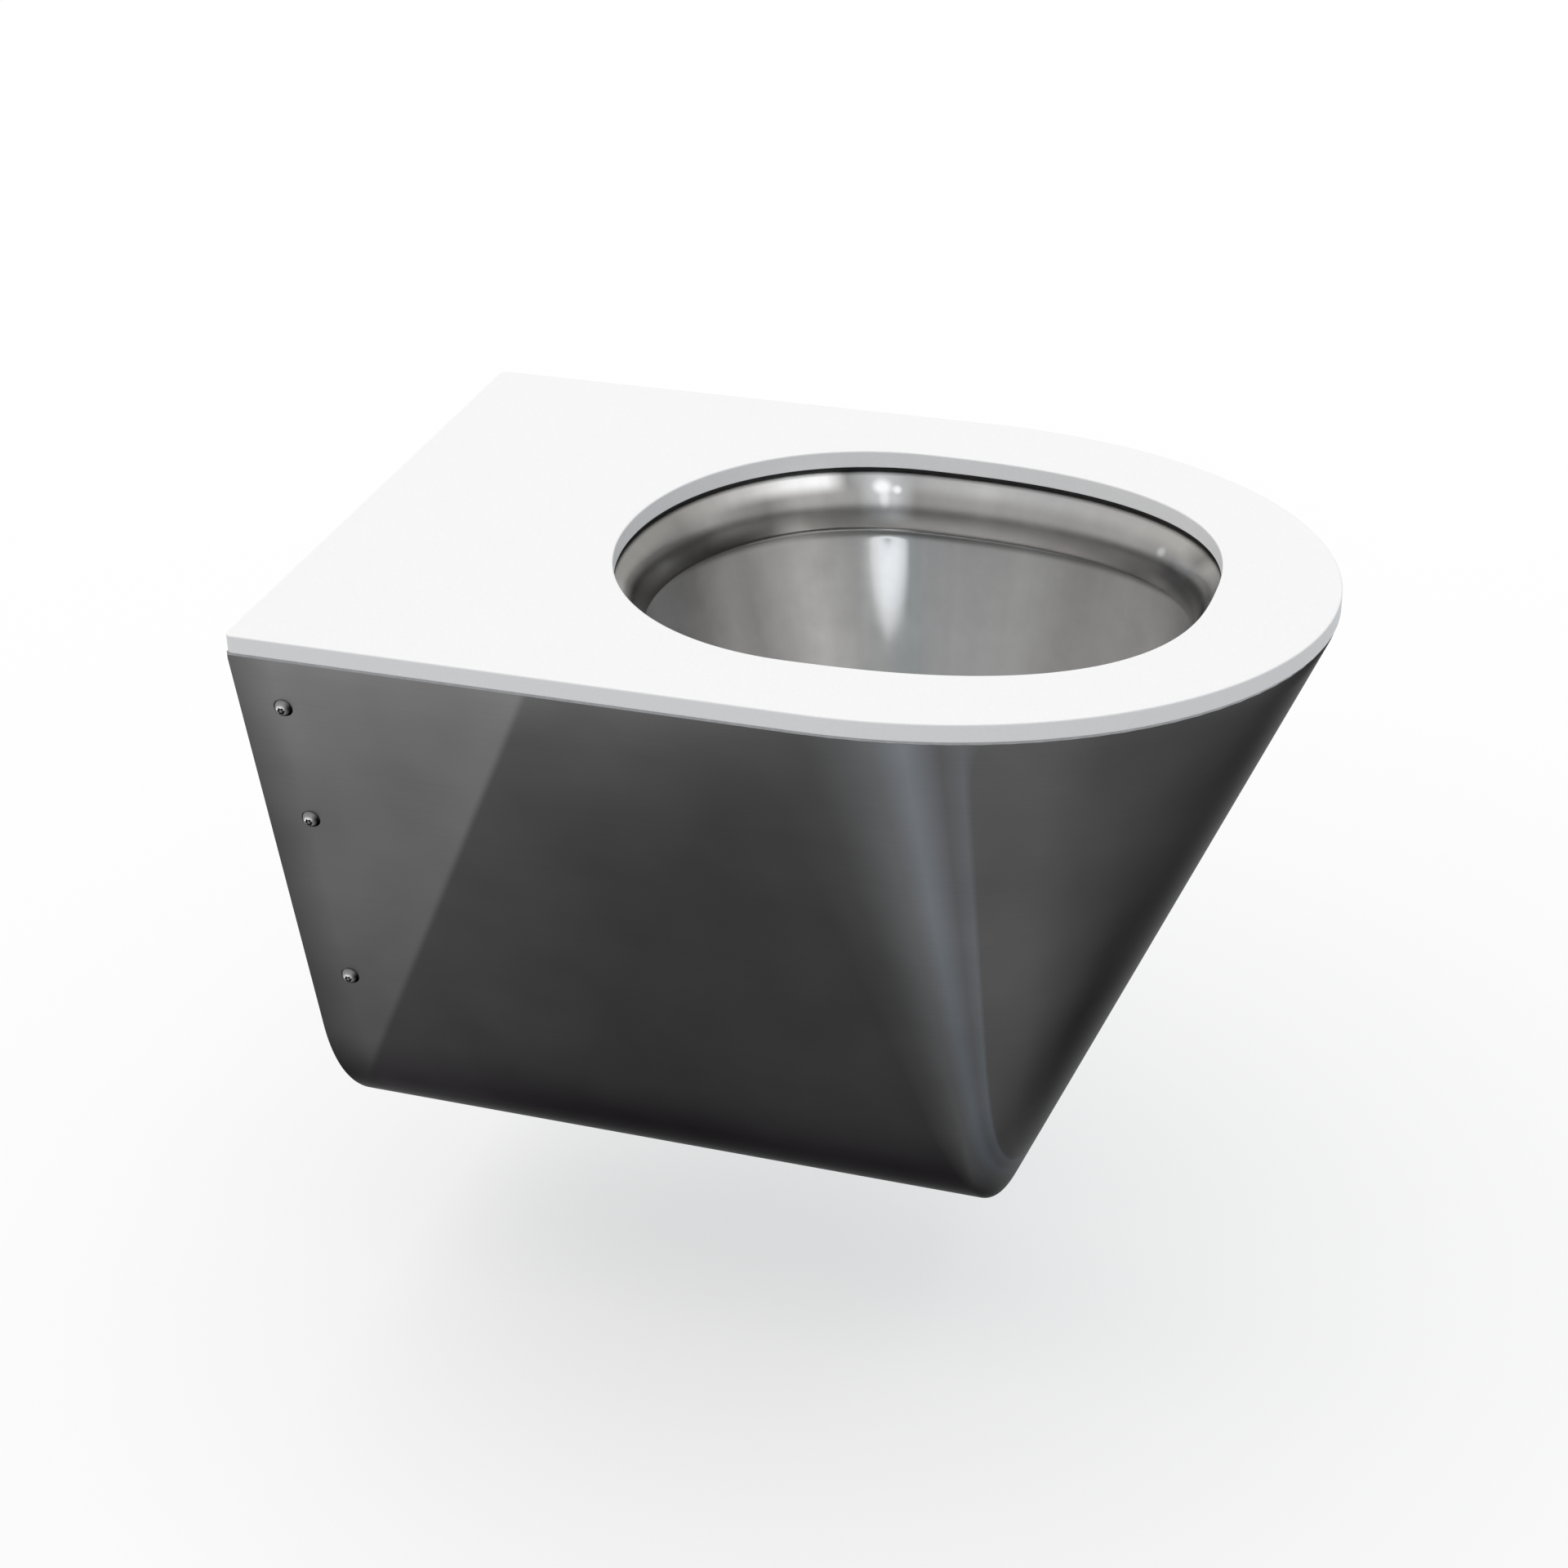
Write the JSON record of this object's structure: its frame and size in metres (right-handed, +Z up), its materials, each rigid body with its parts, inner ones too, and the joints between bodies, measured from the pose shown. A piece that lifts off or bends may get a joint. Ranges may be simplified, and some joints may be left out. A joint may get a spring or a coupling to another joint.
{
  "type": "wall-hung toilet",
  "caption": "Wall-hung toilet pan in satin stainless steel with a fixed white seat slab, polished flushing rim, pressed bowl, trap and hidden wall bracket.",
  "frame": {"origin": "on the wall plane, midway between the two wall studs", "axes": "+Y into the wall, -Y towards the user, +Z up, +X to the right seen from the user's side"},
  "size_m": [0.36, 0.53, 0.373],
  "materials": {
    "seat": "fine matt white, cast solid surface",
    "rubber": "matt black",
    "brass": "turned",
    "fastener": "bright stainless",
    "satin_steel": "mill finish stainless sheet and tube",
    "shell_steel": "satin ground stainless sheet",
    "bowl_steel": "pressed and satin polished stainless",
    "polished_steel": "bright polished stainless",
    "zinc_steel": "zinc plated",
    "damping": "matt black damping sheet",
    "foam": "closed-cell foam",
    "nylon": "moulded natural nylon"
  },
  "bodies": {
    "root": {"seat_plate": "seat", "seat_gasket": "rubber", "seat_inserts": "brass", "seat_screws": "fastener", "seat_washers": "fastener", "deck_plate": "satin_steel", "deck_rail_left": "satin_steel", "deck_rail_right": "satin_steel", "flush_rim": "polished_steel", "bowl": "bowl_steel", "neck_collar": "satin_steel", "trap_inlet_elbow": "satin_steel", "trap_rise_elbow": "satin_steel", "trap_outlet_elbow": "satin_steel", "outlet_spigot": "satin_steel", "inlet_socket": "satin_steel", "inlet_seal": "rubber", "flush_manifold": "satin_steel", "outer_shell": "shell_steel", "damping_pad_left": "damping", "damping_pad_right": "damping", "trap_saddle": "satin_steel", "saddle_pad": "rubber", "wall_bracket": "zinc_steel", "bracket_cheek_left": "zinc_steel", "bracket_cheek_right": "zinc_steel", "hanger_rail_left": "satin_steel", "hanger_rail_right": "satin_steel", "weld_nuts": "fastener", "side_screws": "polished_steel", "stud_bushes": "nylon", "wall_pad": "foam"}
  },
  "joints": []
}
